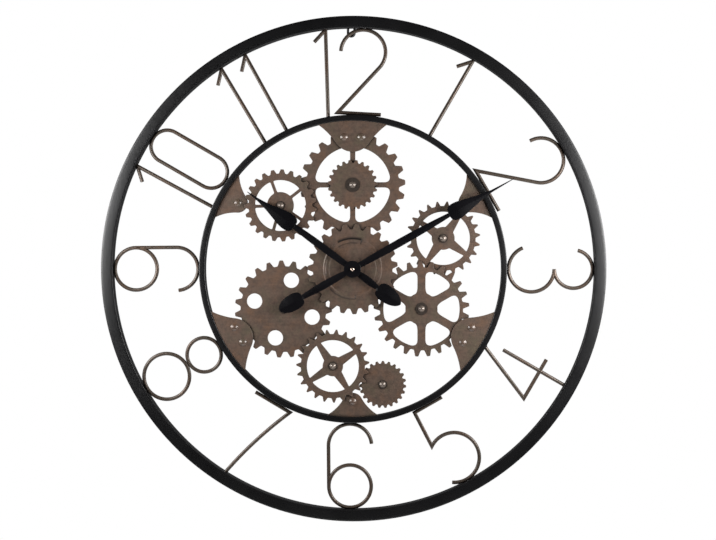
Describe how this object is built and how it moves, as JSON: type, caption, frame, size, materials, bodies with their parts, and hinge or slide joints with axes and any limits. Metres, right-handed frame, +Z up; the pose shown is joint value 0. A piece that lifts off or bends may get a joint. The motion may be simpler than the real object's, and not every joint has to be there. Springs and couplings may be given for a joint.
{
  "type": "wall clock",
  "caption": "Open metal wall clock: two rings joined by bent-rod numerals, a fixed cluster of toothed gear plates on brackets, and a quartz movement that turns spade hands together",
  "frame": {"origin": "where the nail carries the clock: the inside of the outer ring, in the eye of the hanging loop, on the plane of the wall", "axes": "+Z up, +X to the right as seen from the front, -Y out from the wall towards the viewer"},
  "size_m": [0.7, 0.0351, 0.7],
  "materials": {
    "black_steel": "satin black paint",
    "bronze_rod": "semi-gloss antique bronze",
    "bronze_plate": "mottled antique bronze",
    "screw_steel": "polished dome, bronze tint",
    "hand_black": "satin black paint",
    "brass": "turned brass",
    "black_plastic": "moulded, fine texture",
    "zinc_steel": "zinc plated",
    "cell_wrap": "plain plastic wrap on a metal cell",
    "board_green": "solder mask",
    "copper_wire": "enamelled winding"
  },
  "bodies": {
    "frame": {"battery": "cell_wrap", "battery_contact_minus": "zinc_steel", "battery_contact_plus": "zinc_steel", "bottom_gear": "bronze_plate", "bottom_gear_screw": "screw_steel", "bracket_10": "bronze_plate", "bracket_12": "bronze_plate", "bracket_2": "bronze_plate", "bracket_4": "bronze_plate", "bracket_6": "bronze_plate", "bracket_8": "bronze_plate", "centre_gear": "bronze_plate", "circuit_board": "board_green", "drive_coil": "copper_wire", "fixing_nut": "brass", "fixing_washer": "zinc_steel", "hanging_loop": "black_steel", "inner_ring": "black_steel", "left_gear": "bronze_plate", "left_gear_screw": "screw_steel", "movement_case": "black_plastic", "movement_cover": "black_plastic", "numeral_1": "bronze_rod", "numeral_10_one": "bronze_rod", "numeral_10_zero": "bronze_rod", "numeral_11_first": "bronze_rod", "numeral_11_second": "bronze_rod", "numeral_12_one": "bronze_rod", "numeral_12_two": "bronze_rod", "numeral_2": "bronze_rod", "numeral_3": "bronze_rod", "numeral_4": "bronze_rod", "numeral_5": "bronze_rod", "numeral_6": "bronze_rod", "numeral_7": "bronze_rod", "numeral_8": "bronze_rod", "numeral_9": "bronze_rod", "outer_ring": "black_steel", "right_gear": "bronze_plate", "right_gear_screw": "screw_steel", "small_gear": "bronze_plate", "small_gear_screw": "screw_steel", "threaded_bushing": "brass", "top_gear": "bronze_plate", "top_gear_screw": "screw_steel", "top_pinion": "bronze_plate", "upper_left_gear": "bronze_plate", "upper_left_gear_screw": "screw_steel", "upper_right_gear": "bronze_plate", "upper_right_gear_screw": "screw_steel"},
    "minute": {"minute_arbor": "zinc_steel", "minute_hand": "hand_black", "hand_nut": "brass"},
    "hour": {"hour_wheel": "brass", "hour_hand": "hand_black"},
    "setting": {"reverser_wheel": "brass", "setting_knob": "black_plastic"}
  },
  "joints": [
    {"name": "minute_turn", "type": "hinge", "parent": "frame", "child": "minute", "pos_m": [0.0025, -0.02, -0.33399], "axis": [0, 1, 0], "continuous": true},
    {"name": "hour_turn", "type": "hinge", "parent": "frame", "child": "hour", "pos_m": [0.0025, -0.02, -0.33399], "axis": [0, 1, 0], "continuous": true},
    {"name": "setting_turn", "type": "hinge", "parent": "frame", "child": "setting", "pos_m": [0.0025, -0.01, -0.32199], "axis": [0, 1, 0], "continuous": true}
  ],
  "couplings": [
    {"joint": "hour_turn", "follows": "minute_turn", "ratio": 0.083333},
    {"joint": "setting_turn", "follows": "minute_turn", "ratio": -0.33333}
  ]
}
